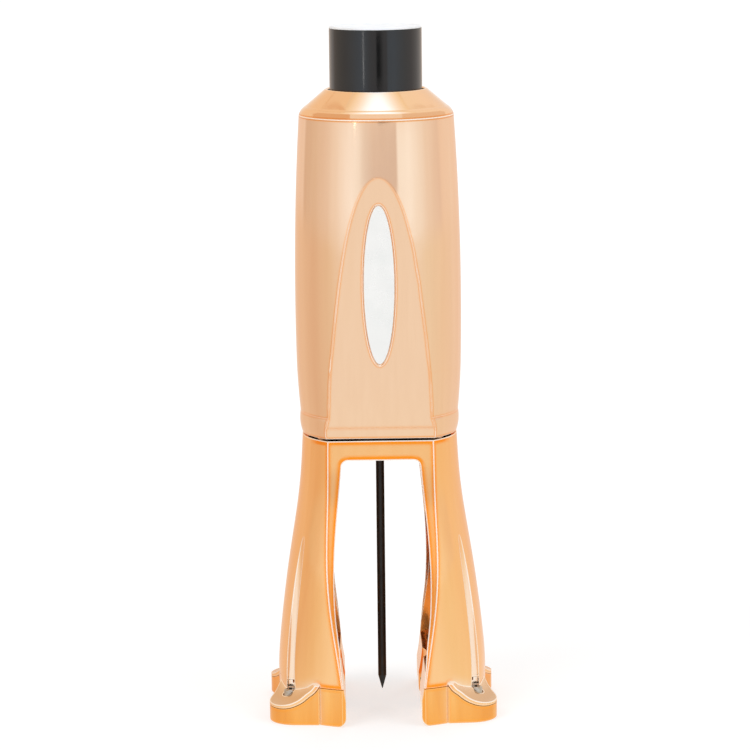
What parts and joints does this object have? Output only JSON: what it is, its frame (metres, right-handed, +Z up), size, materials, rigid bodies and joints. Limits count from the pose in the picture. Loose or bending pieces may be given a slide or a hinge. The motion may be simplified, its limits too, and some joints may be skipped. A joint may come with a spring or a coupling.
{
  "type": "wine bottle opener",
  "caption": "Gas-powered wine bottle opener: a press-down cartridge in a plated barrel, a long hollow needle, and two legs with foil-cutting wheels in the feet.",
  "frame": {"origin": "on the needle's axis, at the height of the surface under the feet", "axes": "+Z up along the needle and the cartridge; -Y is the front, with the oval plate; +X is to the right when facing the front"},
  "size_m": [0.087, 0.0732, 0.2632],
  "materials": {
    "plated_shell": "bright rose gold plating on moulded plastic",
    "plated_frame": "bright rose gold plating on moulded plastic",
    "plated_feet": "bright rose gold plating on moulded plastic",
    "plate_metal": "satin silver plate, bare",
    "screw_steel": "nickel-plated steel",
    "wheel_steel": "hardened steel, ground edge",
    "black_plastic": "black moulded plastic",
    "needle_coat": "black non-stick coating on hollow steel",
    "seal_rubber": "black nitrile rubber",
    "can_print": "aluminium, glossy black print, bare base",
    "can_metal": "bare sheet metal",
    "valve_plastic": "white moulded plastic"
  },
  "bodies": {
    "opener": {"housing": "plated_shell", "badge_plate": "plate_metal", "leg_frame": "plated_frame", "foot_left": "plated_feet", "foot_right": "plated_feet", "foot_screws": "screw_steel", "frame_screws": "screw_steel", "axle_pins": "screw_steel", "cartridge_sleeve": "black_plastic", "needle": "needle_coat", "needle_hub": "black_plastic", "hub_screws": "screw_steel", "stem_seal": "seal_rubber", "valve_stem": "valve_plastic", "valve_spring": "screw_steel"},
    "cartridge": {"gas_can": "can_print", "valve_cup": "can_metal", "cup_gasket": "seal_rubber", "stem_gasket": "seal_rubber", "valve_body": "valve_plastic", "dip_tube": "valve_plastic"},
    "wheel_front_left": {"cutter_wheel_front_left": "wheel_steel"},
    "wheel_front_right": {"cutter_wheel_front_right": "wheel_steel"},
    "wheel_rear_left": {"cutter_wheel_rear_left": "wheel_steel"},
    "wheel_rear_right": {"cutter_wheel_rear_right": "wheel_steel"}
  },
  "joints": [
    {"name": "cartridge_press", "type": "slide", "parent": "opener", "child": "cartridge", "axis": [0, 0, -1], "range_m": [0, 0.002], "stiffness_N_per_m": 8000, "springref_m": -0.0005, "deforming": ["valve_spring"]},
    {"name": "front_left_wheel_spin", "type": "hinge", "parent": "opener", "child": "wheel_front_left", "pos_m": [-0.0206, -0.0064, 0.0064], "axis": [0, 0, 1], "continuous": true},
    {"name": "front_right_wheel_spin", "type": "hinge", "parent": "opener", "child": "wheel_front_right", "pos_m": [0.0206, -0.0064, 0.0064], "axis": [0, 0, 1], "continuous": true},
    {"name": "rear_left_wheel_spin", "type": "hinge", "parent": "opener", "child": "wheel_rear_left", "pos_m": [-0.0206, 0.0064, 0.0064], "axis": [0, 0, 1], "continuous": true},
    {"name": "rear_right_wheel_spin", "type": "hinge", "parent": "opener", "child": "wheel_rear_right", "pos_m": [0.0206, 0.0064, 0.0064], "axis": [0, 0, 1], "continuous": true}
  ]
}
